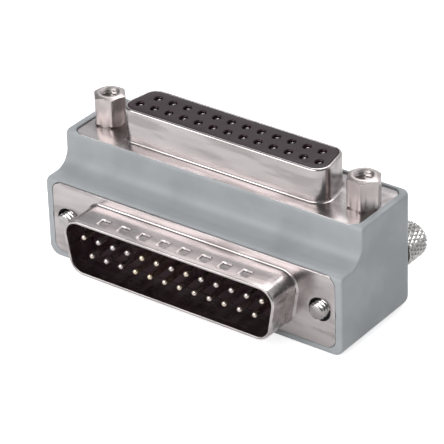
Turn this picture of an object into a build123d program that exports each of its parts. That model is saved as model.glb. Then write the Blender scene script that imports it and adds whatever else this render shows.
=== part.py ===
"""Right-angle adapter for 25-way D connectors.

A moulded housing carries a plug shell on its front face (-Y) and a socket shell on its top face (+Z). Each of the
25 pins is bent up inside the housing and ends in the rear cup of the socket above it. Two thumbscrews pass through
the housing from the back, and two hex standoffs stand on the top flange. Millimetres, origin at the centre of the
housing's flat base, +X along the row of contacts.
"""
from build123d import *
import math
import os

os.makedirs("parts", exist_ok=True)

# Contact grid of a 25-way connector
contact_pitch = 2.76
row_spacing = 2.84
wide_row_count = 13
narrow_row_count = 12
side_slope = 10.0

# Plug shell on the front and socket shell on the top, both drawn from sheet and sized from the contact grid
sheet = 0.5
shell_wall = 0.45
plug_end_margin = 2.92
plug_side_margin = 2.76
plug_inner_corner = 2.2
plug_height = 5.85
plug_root_bevel = 0.6
mating_gap_ends = 0.29
mating_gap_sides = 0.23
socket_outer_corner = 2.4
socket_height = 5.65
socket_root_bevel = 0.5
socket_rim_bevel = 0.3
flange_ear = 6.77
flange_side = 1.92
flange_corner = 1.6
flange_gap = 0.05
screw_from_flange_end = 2.73
thumbscrew_hole = 3.8
standoff_hole = 3.1

# Housing round the two flanges: a rim of this width stands outside each one
end_rim = 1.3
base_rim = 1.05
ledge_rim = 0.3
back_rim = 0.75
front_rim = 0.25
rim_height = 0.25
flange_recess = 0.5
upper_setback = 5.4
upper_step_height = 5.9
cove_radius = 2.8
front_edge_radius = 1.0
upper_edge_radius = 0.9
corner_radius = 1.8

# Grounding dimples pressed into both long walls of the plug shell
dimple_count = 8
dimple_pitch = 3.75
dimple_width = 1.7
dimple_length = 1.8
dimple_depth = 0.3
dimple_from_rim = 1.1

# Insulators
insulator_rear_ends = 1.02
insulator_rear_sides = 1.12
insulator_rear_depth = 4.6
insulator_rear_corner = 2.6
insulator_gap = 0.05
plug_floor_depth = 5.5
entry_diameter = 1.25
entry_depth = 0.8

# Contacts; each small round that repeats with them is drawn with this many flats
contact_flat_count = 8
pin_diameter = 1.02
pin_tip_length = 0.4
pin_tip_inset = 0.25
pin_below_rim = 0.8
tail_width = 0.64
tail_gap = 0.04
socket_width = 1.5
socket_gap = 0.04
socket_beam = 0.28
socket_slot_depth = 6.0
socket_lead_in = 0.1
socket_lead_in_length = 0.2
socket_length = 7.4
tail_overlap = 1.0
cavity_margin = 1.2

# Hex standoffs
hex_across_flats = 4.76
hex_height = 5.05
hex_turn = 15.0
hex_chamfer = 0.8
hex_chamfer_height = 0.4
standoff_bore = 2.3
standoff_bore_depth = 4.4
standoff_lead_in = 0.4
stud_diameter = 2.8
stud_length = 4.4
stud_gap = 0.05
stud_hole_extra = 0.3

# Thumbscrews, and the split rings that keep them in the housing
head_diameter = 6.0
head_length = 5.1
head_gap = 1.3
flute_count = 24
flute_depth = 0.3
flute_crest_share = 0.4
flute_valley_share = 0.7
slot_width = 0.8
slot_depth = 1.0
shank_diameter = 2.75
tip_protrusion = 1.0
tip_chamfer = 0.45
tunnel_diameter = 3.4
head_recess_diameter = 7.0
head_recess_depth = 2.0
ring_diameter = 5.2
ring_thickness = 0.6
ring_opening = 2.0
groove_diameter = 2.2
ring_running_gap = 0.05
ring_side_gap = 0.05
ring_cavity_gap = 0.3
ring_back_gap = 0.3
stop_gap = 0.1

# Sizes that follow from the ones above
plug_inner_length = (wide_row_count - 1) * contact_pitch + 2 * plug_end_margin
plug_inner_width = row_spacing + 2 * plug_side_margin
socket_outer_length = plug_inner_length - 2 * mating_gap_ends
socket_outer_width = plug_inner_width - 2 * mating_gap_sides
flange_length = plug_inner_length + 2 * flange_ear
flange_width = plug_inner_width + 2 * flange_side
insulator_rear_length = plug_inner_length + 2 * insulator_rear_ends
insulator_rear_width = plug_inner_width + 2 * insulator_rear_sides
housing_length = flange_length + 2 * end_rim
front_block_height = base_rim + flange_width + ledge_rim
housing_height = front_block_height + upper_step_height
housing_depth = upper_setback + front_rim + flange_width + 2 * flange_gap + back_rim

# Places that follow, measured from the centre of the base
front_face = -housing_depth / 2
back_face = housing_depth / 2
upper_front = front_face + upper_setback
plug_centre_z = base_rim + flange_width / 2
plug_flange_back = front_face + flange_recess
plug_flange_face = plug_flange_back - sheet
plug_rim = plug_flange_face - plug_height
plug_floor = plug_rim + plug_floor_depth
plug_insulator_back = plug_flange_back + insulator_rear_depth
socket_centre_y = upper_front + front_rim + flange_gap + flange_width / 2
socket_flange_face = housing_height - rim_height
socket_flange_seat = socket_flange_face - sheet
socket_rim = socket_flange_face + socket_height
socket_insulator_bottom = socket_flange_seat - insulator_rear_depth
socket_top = socket_rim - entry_depth
socket_bottom = socket_top - socket_length
screw_x = flange_length / 2 - screw_from_flange_end
head_travel = head_gap + head_recess_depth - stop_gap
head_face = back_face + head_gap
screw_tip = plug_flange_face - tip_protrusion
ring_cavity_end = plug_flange_back + stop_gap + head_travel + ring_thickness + ring_back_gap
ring_back = ring_cavity_end - ring_back_gap
ring_front = ring_back - ring_thickness


def front_plane(y):
    """Sketch plane facing forwards, centred on the plug, with the wide row towards its +Y."""
    return Plane(origin=(0, y, plug_centre_z), x_dir=(1, 0, 0), z_dir=(0, -1, 0))


def top_plane(z):
    """Sketch plane facing up, centred on the socket, with the wide row towards its +Y."""
    return Plane(origin=(0, socket_centre_y, z), x_dir=(-1, 0, 0), z_dir=(0, 0, 1))


def row_places(count):
    """Places of one row's contacts along its length."""
    return [(i - (count - 1) / 2) * contact_pitch for i in range(count)]


# Place of each contact along the row, and its side of the grid: +1 in the wide row, -1 in the narrow row
grid = [(x, 1) for x in row_places(wide_row_count)] + [(x, -1) for x in row_places(narrow_row_count)]
grid_points = [(x, side * row_spacing / 2) for x, side in grid]
cavity_length = (wide_row_count - 1) * contact_pitch + 2 * cavity_margin

# Moulded housing: stepped section with a cove, two flange seats, and the bores of the screws
with BuildPart() as housing:
    with BuildSketch(Plane.YZ) as section:
        with BuildLine():
            Polyline(
                (front_face, 0),
                (front_face, front_block_height),
                (upper_front, front_block_height),
                (upper_front, housing_height),
                (back_face, housing_height),
                (back_face, 0),
                close=True,
            )
        make_face()
        cove_corner = section.vertices().sort_by_distance((upper_front, front_block_height))[0]
        fillet(cove_corner, cove_radius)
        front_corner = section.vertices().sort_by_distance((front_face, front_block_height))[0]
        fillet(front_corner, front_edge_radius)
        upper_corner = section.vertices().sort_by_distance((upper_front, housing_height))[0]
        fillet(upper_corner, upper_edge_radius)
    extrude(amount=housing_length / 2, both=True)
    base_edges = housing.faces().sort_by(Axis.Z)[0].edges().sort_by(Axis.Y)[1:]
    back_uprights = housing.edges().filter_by(Axis.Z).group_by(Axis.Y)[-1]
    fillet(base_edges + back_uprights, corner_radius)

    # Seats of the two flanges
    with BuildSketch(front_plane(plug_flange_back)):
        RectangleRounded(flange_length + 2 * flange_gap, flange_width + 2 * flange_gap, flange_corner)
    extrude(amount=flange_recess, mode=Mode.SUBTRACT)
    with BuildSketch(top_plane(socket_flange_seat)):
        RectangleRounded(flange_length + 2 * flange_gap, flange_width + 2 * flange_gap, flange_corner)
    extrude(amount=sheet + rim_height, mode=Mode.SUBTRACT)

    # Seats of the two insulators
    with BuildSketch(front_plane(plug_insulator_back)) as seat:
        Trapezoid(insulator_rear_length, insulator_rear_width, 90 - side_slope, rotation=180)
        fillet(seat.vertices(), insulator_rear_corner)
        offset(amount=insulator_gap)
    extrude(amount=insulator_rear_depth, mode=Mode.SUBTRACT)
    with BuildSketch(top_plane(socket_insulator_bottom)) as seat:
        Trapezoid(insulator_rear_length, insulator_rear_width, 90 - side_slope, rotation=180)
        fillet(seat.vertices(), insulator_rear_corner)
        offset(amount=insulator_gap)
    extrude(amount=insulator_rear_depth, mode=Mode.SUBTRACT)

    # Space for the bent tails
    cavity_back = socket_centre_y + row_spacing / 2 + cavity_margin
    cavity_floor = plug_centre_z - row_spacing / 2 - cavity_margin
    with BuildSketch(Plane.XY.offset(cavity_floor)):
        with Locations((0, (plug_insulator_back + cavity_back) / 2)):
            Rectangle(cavity_length, cavity_back - plug_insulator_back)
    extrude(amount=socket_insulator_bottom - cavity_floor, mode=Mode.SUBTRACT)

    # Tunnels, ring chambers and head recesses of the thumbscrews, and the stud holes of the standoffs
    with BuildSketch(front_plane(back_face)):
        with Locations((-screw_x, 0), (screw_x, 0)):
            Circle(tunnel_diameter / 2)
    extrude(amount=housing_depth, mode=Mode.SUBTRACT)
    with BuildSketch(front_plane(ring_cavity_end)):
        with Locations((-screw_x, 0), (screw_x, 0)):
            Circle(ring_diameter / 2 + ring_cavity_gap)
    extrude(amount=ring_cavity_end - plug_flange_back, mode=Mode.SUBTRACT)
    with BuildSketch(front_plane(back_face)):
        with Locations((-screw_x, 0), (screw_x, 0)):
            Circle(head_recess_diameter / 2)
    extrude(amount=head_recess_depth, mode=Mode.SUBTRACT)
    with BuildSketch(top_plane(socket_flange_seat)):
        with Locations((-screw_x, 0), (screw_x, 0)):
            Circle(stud_diameter / 2 + stud_gap)
    extrude(amount=-(stud_length - sheet + stud_hole_extra), mode=Mode.SUBTRACT)
housing.part.label = "housing"
export_step(housing.part, "parts/housing.step")

# Plug shell: flange and D-shaped wall drawn in one piece, with pressed dimples
dimple_start = plug_rim + dimple_from_rim
dimple_end = dimple_start + dimple_length
wall_inside = plug_inner_width / 2
with BuildPart() as plug_shell:
    with BuildSketch(front_plane(plug_flange_back)):
        RectangleRounded(flange_length, flange_width, flange_corner)
    extrude(amount=sheet)
    with BuildSketch(front_plane(plug_flange_back)) as wall:
        Trapezoid(plug_inner_length, plug_inner_width, 90 - side_slope, rotation=180)
        fillet(wall.vertices(), plug_inner_corner)
        offset(amount=shell_wall)
    extrude(amount=sheet + plug_height)
    root = plug_shell.faces().filter_by(Axis.Y).sort_by(Axis.Y)[1].inner_wires()[0].edges()
    chamfer(root, plug_root_bevel)
    with BuildSketch(front_plane(plug_flange_back)) as hollow:
        Trapezoid(plug_inner_length, plug_inner_width, 90 - side_slope, rotation=180)
        fillet(hollow.vertices(), plug_inner_corner)
    extrude(amount=sheet + plug_height, mode=Mode.SUBTRACT)
    with BuildSketch(front_plane(plug_flange_back)):
        with Locations((-screw_x, 0), (screw_x, 0)):
            Circle(thumbscrew_hole / 2)
    extrude(amount=sheet, mode=Mode.SUBTRACT)
    for up in (1, -1):
        for i in range(dimple_count):
            place = (i - (dimple_count - 1) / 2) * dimple_pitch
            for face, mode in ((wall_inside, Mode.ADD), (wall_inside + shell_wall, Mode.SUBTRACT)):
                surface = plug_centre_z + up * face
                with BuildSketch(Plane.YZ.offset(place)):
                    with BuildLine():
                        Polyline(
                            (dimple_start, surface),
                            (dimple_end, surface),
                            (dimple_end, surface - up * dimple_depth),
                            close=True,
                        )
                    make_face()
                extrude(amount=dimple_width / 2, both=True, mode=mode)
plug_shell.part.label = "plug_shell"
export_step(plug_shell.part, "parts/plug_shell.step")

# Socket shell: smaller D with a rim turned in round the insulator
with BuildPart() as socket_shell:
    with BuildSketch(top_plane(socket_flange_seat)):
        RectangleRounded(flange_length, flange_width, flange_corner)
    extrude(amount=sheet)
    with BuildSketch(top_plane(socket_flange_seat)) as wall:
        Trapezoid(socket_outer_length, socket_outer_width, 90 - side_slope, rotation=180)
        fillet(wall.vertices(), socket_outer_corner)
    extrude(amount=sheet + socket_height)
    root = socket_shell.faces().filter_by(Axis.Z).sort_by(Axis.Z)[1].inner_wires()[0].edges()
    chamfer(root, socket_root_bevel)
    chamfer(socket_shell.faces().sort_by(Axis.Z)[-1].edges(), socket_rim_bevel)
    with BuildSketch(top_plane(socket_flange_seat)) as hollow:
        Trapezoid(socket_outer_length, socket_outer_width, 90 - side_slope, rotation=180)
        fillet(hollow.vertices(), socket_outer_corner)
        offset(amount=-shell_wall)
    extrude(amount=sheet + socket_height, mode=Mode.SUBTRACT)
    with BuildSketch(top_plane(socket_flange_seat)):
        with Locations((-screw_x, 0), (screw_x, 0)):
            Circle(standoff_hole / 2)
    extrude(amount=sheet, mode=Mode.SUBTRACT)
socket_shell.part.label = "socket_shell"
export_step(socket_shell.part, "parts/socket_shell.step")

# Plug insulator: floor of the plug, with a square hole for each pin's tail
with BuildPart() as plug_insulator:
    with BuildSketch(front_plane(plug_insulator_back)) as rear:
        Trapezoid(insulator_rear_length, insulator_rear_width, 90 - side_slope, rotation=180)
        fillet(rear.vertices(), insulator_rear_corner)
    extrude(amount=insulator_rear_depth)
    with BuildSketch(front_plane(plug_insulator_back)) as boss:
        Trapezoid(plug_inner_length, plug_inner_width, 90 - side_slope, rotation=180)
        fillet(boss.vertices(), plug_inner_corner)
        offset(amount=-insulator_gap)
    extrude(amount=plug_insulator_back - plug_floor)
    with BuildSketch(front_plane(plug_insulator_back)):
        with Locations(*grid_points):
            Rectangle(tail_width + 2 * tail_gap, tail_width + 2 * tail_gap)
    extrude(amount=plug_insulator_back - plug_floor, mode=Mode.SUBTRACT)
plug_insulator.part.label = "plug_insulator"
export_step(plug_insulator.part, "parts/plug_insulator.step")

# Socket insulator: flush with the rim, with a round entry over each socket and a square chamber below it
chamber_width = socket_width + 2 * socket_gap
with BuildPart() as socket_insulator:
    with BuildSketch(top_plane(socket_insulator_bottom)) as rear:
        Trapezoid(insulator_rear_length, insulator_rear_width, 90 - side_slope, rotation=180)
        fillet(rear.vertices(), insulator_rear_corner)
    extrude(amount=insulator_rear_depth)
    with BuildSketch(top_plane(socket_insulator_bottom)) as boss:
        Trapezoid(socket_outer_length, socket_outer_width, 90 - side_slope, rotation=180)
        fillet(boss.vertices(), socket_outer_corner)
        offset(amount=-shell_wall - insulator_gap)
    extrude(amount=socket_rim - socket_insulator_bottom)
    with BuildSketch(top_plane(socket_top)):
        with Locations(*grid_points):
            RegularPolygon(entry_diameter / 2, contact_flat_count)
    extrude(amount=entry_depth, mode=Mode.SUBTRACT)
    with BuildSketch(top_plane(socket_insulator_bottom)):
        with Locations(*grid_points):
            Rectangle(chamber_width, chamber_width)
    extrude(amount=socket_top - socket_insulator_bottom, mode=Mode.SUBTRACT)
socket_insulator.part.label = "socket_insulator"
export_step(socket_insulator.part, "parts/socket_insulator.step")

# Contacts: a pin with a square tail bent up behind it, and a stamped socket whose two beams grip the mating pin
for number, (x, side) in enumerate(grid, start=1):
    pin_z = plug_centre_z + side * row_spacing / 2
    tail_y = socket_centre_y - side * row_spacing / 2
    half_tail = tail_width / 2
    with BuildPart() as pin:
        with BuildSketch(Plane(origin=(x, plug_floor, pin_z), x_dir=(1, 0, 0), z_dir=(0, -1, 0))):
            RegularPolygon(pin_diameter / 2, contact_flat_count)
        extrude(amount=plug_floor_depth - pin_below_rim)
        tip = pin.faces().sort_by(Axis.Y)[0]
        chamfer(tip.edges(), pin_tip_length, pin_tip_inset, reference=tip)
        with BuildSketch(Plane.YZ.offset(x)):
            with BuildLine():
                Polyline(
                    (plug_floor, pin_z - half_tail),
                    (tail_y, pin_z - half_tail),
                    (tail_y + half_tail, pin_z),
                    (tail_y + half_tail, socket_bottom + tail_overlap),
                    (tail_y - half_tail, socket_bottom + tail_overlap),
                    (tail_y - half_tail, pin_z + half_tail),
                    (plug_floor, pin_z + half_tail),
                    close=True,
                )
            make_face()
        extrude(amount=half_tail, both=True)
    pin.part.label = f"pin_{number:02d}"
    export_step(pin.part, f"parts/pin_{number:02d}.step")

    half_socket = socket_width / 2
    half_slot = half_socket - socket_beam
    with BuildPart() as socket:
        with BuildSketch(Plane.YZ.offset(x)):
            with BuildLine():
                Polyline(
                    (tail_y - half_socket, socket_bottom),
                    (tail_y - half_socket, socket_top),
                    (tail_y - half_slot - socket_lead_in, socket_top),
                    (tail_y - half_slot, socket_top - socket_lead_in_length),
                    (tail_y - half_slot, socket_top - socket_slot_depth),
                    (tail_y + half_slot, socket_top - socket_slot_depth),
                    (tail_y + half_slot, socket_top - socket_lead_in_length),
                    (tail_y + half_slot + socket_lead_in, socket_top),
                    (tail_y + half_socket, socket_top),
                    (tail_y + half_socket, socket_bottom),
                    close=True,
                )
            make_face()
        extrude(amount=half_socket, both=True)
        with BuildSketch(Plane(origin=(x, tail_y, socket_bottom), x_dir=(1, 0, 0), z_dir=(0, 0, 1))):
            Rectangle(tail_width + 2 * tail_gap, tail_width + 2 * tail_gap)
        extrude(amount=tail_overlap, mode=Mode.SUBTRACT)
    socket.part.label = f"socket_{number:02d}"
    export_step(socket.part, f"parts/socket_{number:02d}.step")

# Hex standoffs: turned top edge, threaded bore, and a stud through the flange into the housing
with BuildPart() as standoffs:
    for side in (-1, 1):
        with BuildSketch(top_plane(socket_flange_face)):
            with Locations((side * screw_x, 0)):
                RegularPolygon(hex_across_flats / 2, 6, major_radius=False, rotation=hex_turn)
        extrude(amount=hex_height)
    hex_corner = hex_across_flats / 2 / math.cos(math.radians(30))
    for side in (-1, 1):
        standoff_top = socket_flange_face + hex_height
        with BuildSketch(Plane(origin=(side * screw_x, socket_centre_y, 0), x_dir=(1, 0, 0), z_dir=(0, -1, 0))):
            with BuildLine():
                Polyline(
                    (hex_corner, standoff_top),
                    (hex_corner, standoff_top - hex_chamfer_height),
                    (hex_corner - hex_chamfer, standoff_top),
                    close=True,
                )
            make_face()
        revolve(axis=Axis((side * screw_x, socket_centre_y, 0), (0, 0, 1)), mode=Mode.SUBTRACT)
    with BuildSketch(top_plane(socket_flange_face)):
        with Locations((-screw_x, 0), (screw_x, 0)):
            Circle(stud_diameter / 2)
    extrude(amount=-stud_length)
    with BuildSketch(top_plane(socket_flange_face + hex_height)):
        with Locations((-screw_x, 0), (screw_x, 0)):
            Circle(standoff_bore / 2)
    extrude(amount=-standoff_bore_depth, mode=Mode.SUBTRACT)
    bore_mouths = standoffs.faces().filter_by(Axis.Z).group_by(Axis.Z)[-1]
    chamfer([face.inner_wires()[0].edges()[0] for face in bore_mouths], standoff_lead_in)
standoffs.part.label = "standoffs"
export_step(standoffs.part, "parts/standoffs.step")

# Thumbscrews with a fluted, slotted head, and the split ring in each one's groove
for name, side in (("left", -1), ("right", 1)):
    axis_x = side * screw_x
    axis_plane = Plane(origin=(axis_x, 0, plug_centre_z), x_dir=(0, 1, 0), z_dir=(1, 0, 0))
    with BuildPart() as thumbscrew:
        with BuildSketch(axis_plane):
            with BuildLine():
                Polyline(
                    (screw_tip, 0),
                    (screw_tip, shank_diameter / 2 - tip_chamfer),
                    (screw_tip + tip_chamfer, shank_diameter / 2),
                    (ring_front - ring_side_gap, shank_diameter / 2),
                    (ring_front - ring_side_gap, groove_diameter / 2),
                    (ring_back + ring_side_gap, groove_diameter / 2),
                    (ring_back + ring_side_gap, shank_diameter / 2),
                    (head_face, shank_diameter / 2),
                    (head_face, 0),
                    close=True,
                )
            make_face()
        revolve(axis=Axis((axis_x, 0, plug_centre_z), (0, 1, 0)))
        head_end = head_face + head_length
        crest = head_diameter / 2
        valley = crest - flute_depth
        flute_angle = 2 * math.pi / flute_count
        rim = []
        for i in range(flute_count):
            for share, radius in ((0, crest), (flute_crest_share, crest), (flute_valley_share, valley)):
                angle = (i + share) * flute_angle
                rim.append((radius * math.cos(angle), radius * math.sin(angle)))
        with BuildSketch(Plane(origin=(axis_x, head_end, plug_centre_z), x_dir=(1, 0, 0), z_dir=(0, -1, 0))):
            with BuildLine():
                Polyline(*rim, close=True)
            make_face()
        extrude(amount=head_length)
        with BuildSketch(Plane(origin=(axis_x, head_end, plug_centre_z), x_dir=(1, 0, 0), z_dir=(0, -1, 0))):
            Rectangle(head_diameter, slot_width)
        extrude(amount=slot_depth, mode=Mode.SUBTRACT)
    thumbscrew.part.label = f"thumbscrew_{name}"
    export_step(thumbscrew.part, f"parts/thumbscrew_{name}.step")

    with BuildPart() as ring:
        with BuildSketch(Plane(origin=(axis_x, ring_back, plug_centre_z), x_dir=(1, 0, 0), z_dir=(0, -1, 0))):
            Circle(ring_diameter / 2)
            Circle(groove_diameter / 2 + ring_running_gap, mode=Mode.SUBTRACT)
            with Locations((0, -ring_diameter / 2)):
                Rectangle(ring_opening, ring_diameter, mode=Mode.SUBTRACT)
        extrude(amount=ring_thickness)
    ring.part.label = f"retaining_ring_{name}"
    export_step(ring.part, f"parts/retaining_ring_{name}.step")
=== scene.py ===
# %% [markdown]
# # A right-angle adapter for two 25-way D connectors
# The adapter is a moulded grey block. A plug shell with 25 pins stands on its front, a socket shell with 25
# holes on its top. Two knurled screws run through it from the back, and two hex posts stand beside the socket
# shell. The CAD model gives each piece its place and its main sizes. This lesson dresses it: it builds the
# rounded, drawn, turned and knurled surfaces that the eye expects, and the finishes that go on them.

# %% Load the frame
import bmesh
import bpy
import math
from mathutils import Matrix, Vector


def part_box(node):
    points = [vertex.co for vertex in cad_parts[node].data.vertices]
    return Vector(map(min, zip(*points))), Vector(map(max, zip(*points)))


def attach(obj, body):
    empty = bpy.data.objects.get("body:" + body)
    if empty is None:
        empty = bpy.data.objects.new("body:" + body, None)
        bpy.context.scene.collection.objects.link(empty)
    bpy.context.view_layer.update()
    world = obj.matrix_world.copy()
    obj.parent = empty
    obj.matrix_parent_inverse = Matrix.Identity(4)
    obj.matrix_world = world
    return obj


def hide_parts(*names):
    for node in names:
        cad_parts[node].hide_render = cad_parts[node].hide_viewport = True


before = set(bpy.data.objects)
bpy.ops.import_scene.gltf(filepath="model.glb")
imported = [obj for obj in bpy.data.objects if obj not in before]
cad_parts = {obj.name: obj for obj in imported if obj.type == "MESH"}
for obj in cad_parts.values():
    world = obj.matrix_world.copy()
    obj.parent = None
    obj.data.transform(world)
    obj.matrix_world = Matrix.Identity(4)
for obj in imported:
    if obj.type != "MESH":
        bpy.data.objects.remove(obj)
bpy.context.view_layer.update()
MM = 0.001


def span(name):
    """Lowest and highest corner of a CAD node, in millimetres."""
    low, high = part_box(name)
    return low / MM, high / MM


block_low, block_high = span("housing")
print("housing", [round(v, 2) for v in block_high - block_low], "mm")

# %% [markdown]
# ## Places that every piece shares
# A piece takes its place from the CAD boxes, so it stays right if the CAD part changes a little. The plug
# lies on the front face and looks forwards, along -Y. The socket lies on the top and looks up, along +Z. Both
# are drawn flat, as outlines of (u, v) points, and then laid on a plane of the front or of the top.

# %% Planes of the plug and the socket
plug_low, plug_high = span("plug_shell")
socket_low, socket_high = span("socket_shell")
PLUG_Z = (plug_low.z + plug_high.z) / 2
SOCKET_Y = (socket_low.y + socket_high.y) / 2
SHEET = 0.5
WALL = 0.45
PLUG_BACK, PLUG_RIM = plug_high.y, plug_low.y
PLUG_FACE = PLUG_BACK - SHEET
SOCKET_SEAT, SOCKET_RIM = socket_low.z, socket_high.z
SOCKET_FACE = SOCKET_SEAT + SHEET
SCREW_X = sum(v.x for v in span("thumbscrew_right")) / 2


def on_front(points, y):
    """Outline points (u, v) as places on a plane across Y."""
    return [(u, y, PLUG_Z + v) for u, v in points]


def on_top(points, z):
    """Outline points (u, v) as places on a plane across Z, with v towards the front."""
    return [(u, SOCKET_Y - v, z) for u, v in points]


print("plug centre height", round(PLUG_Z, 2), "mm, socket centre depth", round(SOCKET_Y, 2), "mm")
print("screws", round(SCREW_X, 2), "mm from the middle")

# %% [markdown]
# ## Outlines that can be offset
# Nearly every part of this object is a flat outline that is swept or stepped: a D for the shells, a rounded
# rectangle for the flanges, a circle for bores. An outline here is a list of points, each with the direction
# that points out of it. Moving each point along that direction gives the next ring of a rounded edge. A bevel
# could round the edges too, but rings keep the same number of points, so plain four-sided faces join them.

# %% Outline with rounded corners
def rounded(corners, radii, arc_steps=8, cuts=None):
    """Points and outward directions of a counter-clockwise outline. cuts adds points after a corner."""
    points, outward = [], []
    count = len(corners)
    for i in range(count):
        here = Vector(corners[i])
        before = (here - Vector(corners[i - 1])).normalized()
        after = (Vector(corners[(i + 1) % count]) - here).normalized()
        turn = math.atan2(before.x * after.y - before.y * after.x, before.dot(after))
        radius = radii[i]
        if radius == 0:
            points.append(here)
            outward.append((Vector((before.y, -before.x)) + Vector((after.y, -after.x))).normalized())
            continue
        reach = radius * math.tan(abs(turn) / 2)
        start_out = Vector((before.y, -before.x))
        side = 1 if turn > 0 else -1
        centre = here - before * reach - start_out * radius * side
        for k in range(arc_steps + 1):
            angle = turn * k / arc_steps
            cosine, sine = math.cos(angle), math.sin(angle)
            x, y = start_out
            out = Vector((x * cosine - y * sine, x * sine + y * cosine))
            points.append(centre + out * radius * side)
            outward.append(out)
        for place in (cuts or {}).get(i, ()):
            points.append(Vector(place))
            outward.append(Vector((after.y, -after.x)))
    return points, outward


def grown(outline, by):
    """The outline's points moved outwards by a distance."""
    return [(p.x + out.x * by, p.y + out.y * by) for p, out in zip(*outline)]


# %% Outlines of this object
SLOPE = 10


def circle(radius, centre=(0, 0), steps=32):
    """A round outline."""
    out = [Vector((math.cos(a), math.sin(a))) for a in (2 * math.pi * k / steps for k in range(steps))]
    return [Vector(centre) + d * radius for d in out], out


def square(half, centre=(0, 0), steps=32):
    """A square outline with as many points as a circle."""
    out = circle(1, (0, 0), steps)[1]
    return [Vector(centre) + d * (half / max(abs(d.x), abs(d.y))) for d in out], out


def d_corners(length, width, slope=SLOPE):
    """Corners of a D outline whose long side is at +v and whose ends slope by some degrees."""
    half, inset = length / 2, width * math.tan(math.radians(slope))
    return [(-half + inset, -width / 2), (half - inset, -width / 2), (half, width / 2), (-half, width / 2)]


def slab_corners(length, width):
    """Corners of a rectangle."""
    return d_corners(length, width, 0)


def round_edge(radius, steps=5):
    """Offsets and drops of a quarter-round edge, from the upright side to the flat top."""
    angles = [math.pi / 2 * k / steps for k in range(steps + 1)]
    return [(-radius * (1 - math.cos(a)), -radius * (1 - math.sin(a))) for a in angles]


print("offset and drop in a round of 1 mm:", [(round(by, 2), round(drop, 2)) for by, drop in round_edge(1)])

# %% [markdown]
# ## From rings to a finished piece
# `Mesher` collects rings in millimetres. `skin` joins one ring to the next, `cap` fills a flat face that may
# have holes, and `solid` joins a stack of rings and closes both ends. `dress` turns a mesh into an object
# that rides on its CAD body. Smooth shading with a crease angle keeps flats flat and rounds round.

# %% Objects in the scene
def link(name, data):
    """Puts a mesh, lamp or camera into the scene as an object."""
    made = bpy.data.objects.new(name, data)
    bpy.context.scene.collection.objects.link(made)
    return made


def dress(mesh, name, body, material, replaces, crease=32):
    """Makes an object of a mesh, shades it, hangs it on its body and hides the CAD parts it replaces."""
    mesh.shade_smooth()
    mesh.set_sharp_from_angle(angle=math.radians(crease))
    mesh.materials.clear()
    mesh.materials.append(material)
    piece = link(name, mesh)
    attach(piece, body)
    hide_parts(*replaces)
    print(name, len(mesh.polygons), "faces")
    return piece


# %% The mesher
class Mesher:
    """Builds closed meshes out of rings, in millimetres."""

    def __init__(self):
        self.bm = bmesh.new()

    def ring(self, points):
        """Corners of one ring."""
        return [self.bm.verts.new(Vector(p) * MM) for p in points]

    def skin(self, rings):
        """Joins each ring to the next with four-sided faces."""
        for low, high in zip(rings, rings[1:]):
            count = len(low)
            for i in range(count):
                j = (i + 1) % count
                self.bm.faces.new((low[i], low[j], high[j], high[i]))

    def cap(self, *rings):
        """Fills a ring, or a flat face between several rings."""
        if len(rings) == 1:
            self.bm.faces.new(rings[0])
            return
        edges = []
        for ring in rings:
            for i, vert in enumerate(ring):
                pair = (vert, ring[(i + 1) % len(ring)])
                edges.append(self.bm.edges.get(pair) or self.bm.edges.new(pair))
        bmesh.ops.triangle_fill(self.bm, edges=edges, use_beauty=True)

    def solid(self, rings):
        """Joins a stack of rings and closes both ends."""
        self.skin(rings)
        self.cap(rings[0])
        self.cap(rings[-1])

    def mesh(self, name):
        """The mesh that was built, with its faces turned outwards."""
        bmesh.ops.recalc_face_normals(self.bm, faces=self.bm.faces)
        made = bpy.data.meshes.new(name)
        self.bm.to_mesh(made)
        self.bm.free()
        return made

    def finish(self, name, body, slot, material, replaces, crease=32):
        """The mesh as a finished piece."""
        return dress(self.mesh(name), name, body, material, replaces, crease)


# %% [markdown]
# ## Effects that several finishes share
# Each finish could have its own noise nodes, but a node group is built once and placed in every material with
# other values. `surface grain` mixes a coarse and a fine noise, both in millimetres. Its Stretch input pulls
# the grain out along one axis, which turns the same noise into brushing. `handling marks` gives soft, wide
# patches where a surface was touched. Both give out only masks and heights. The shader itself stays in each
# material, where its fixed values are set on its own sockets.

# %% Node group helpers
def new_group(name, inputs, outputs):
    """An empty shader node group with named inputs (name, type, value) and float outputs."""
    tree = bpy.data.node_groups.new(name, "ShaderNodeTree")
    for label, kind, value in inputs:
        tree.interface.new_socket(label, in_out="INPUT", socket_type=kind).default_value = value
    for label in outputs:
        tree.interface.new_socket(label, in_out="OUTPUT", socket_type="NodeSocketFloat")
    return tree, tree.nodes.new("NodeGroupInput"), tree.nodes.new("NodeGroupOutput")


def node(tree, kind, values=None, **settings):
    """Adds a node, sets its properties, and fills its sockets with values or links."""
    made = tree.nodes.new(kind)
    for label, value in settings.items():
        setattr(made, label, value)
    for label, value in (values or {}).items():
        if isinstance(value, bpy.types.NodeSocket):
            tree.links.new(value, made.inputs[label])
        else:
            made.inputs[label].default_value = value
    return made


def noise(tree, stretch, scale, detail):
    """A noise on the object's own places in millimetres, pulled along the axes by a stretch socket."""
    place = node(tree, "ShaderNodeTexCoord").outputs["Object"]
    in_mm = node(tree, "ShaderNodeVectorMath", {0: place, 1: (1 / MM,) * 3}, operation="MULTIPLY")
    pulled = node(tree, "ShaderNodeVectorMath", {0: in_mm.outputs[0], 1: stretch}, operation="MULTIPLY")
    made = node(tree, "ShaderNodeTexNoise", {"Vector": pulled.outputs[0], "Scale": scale, "Detail": detail})
    return made.outputs[0]


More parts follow.
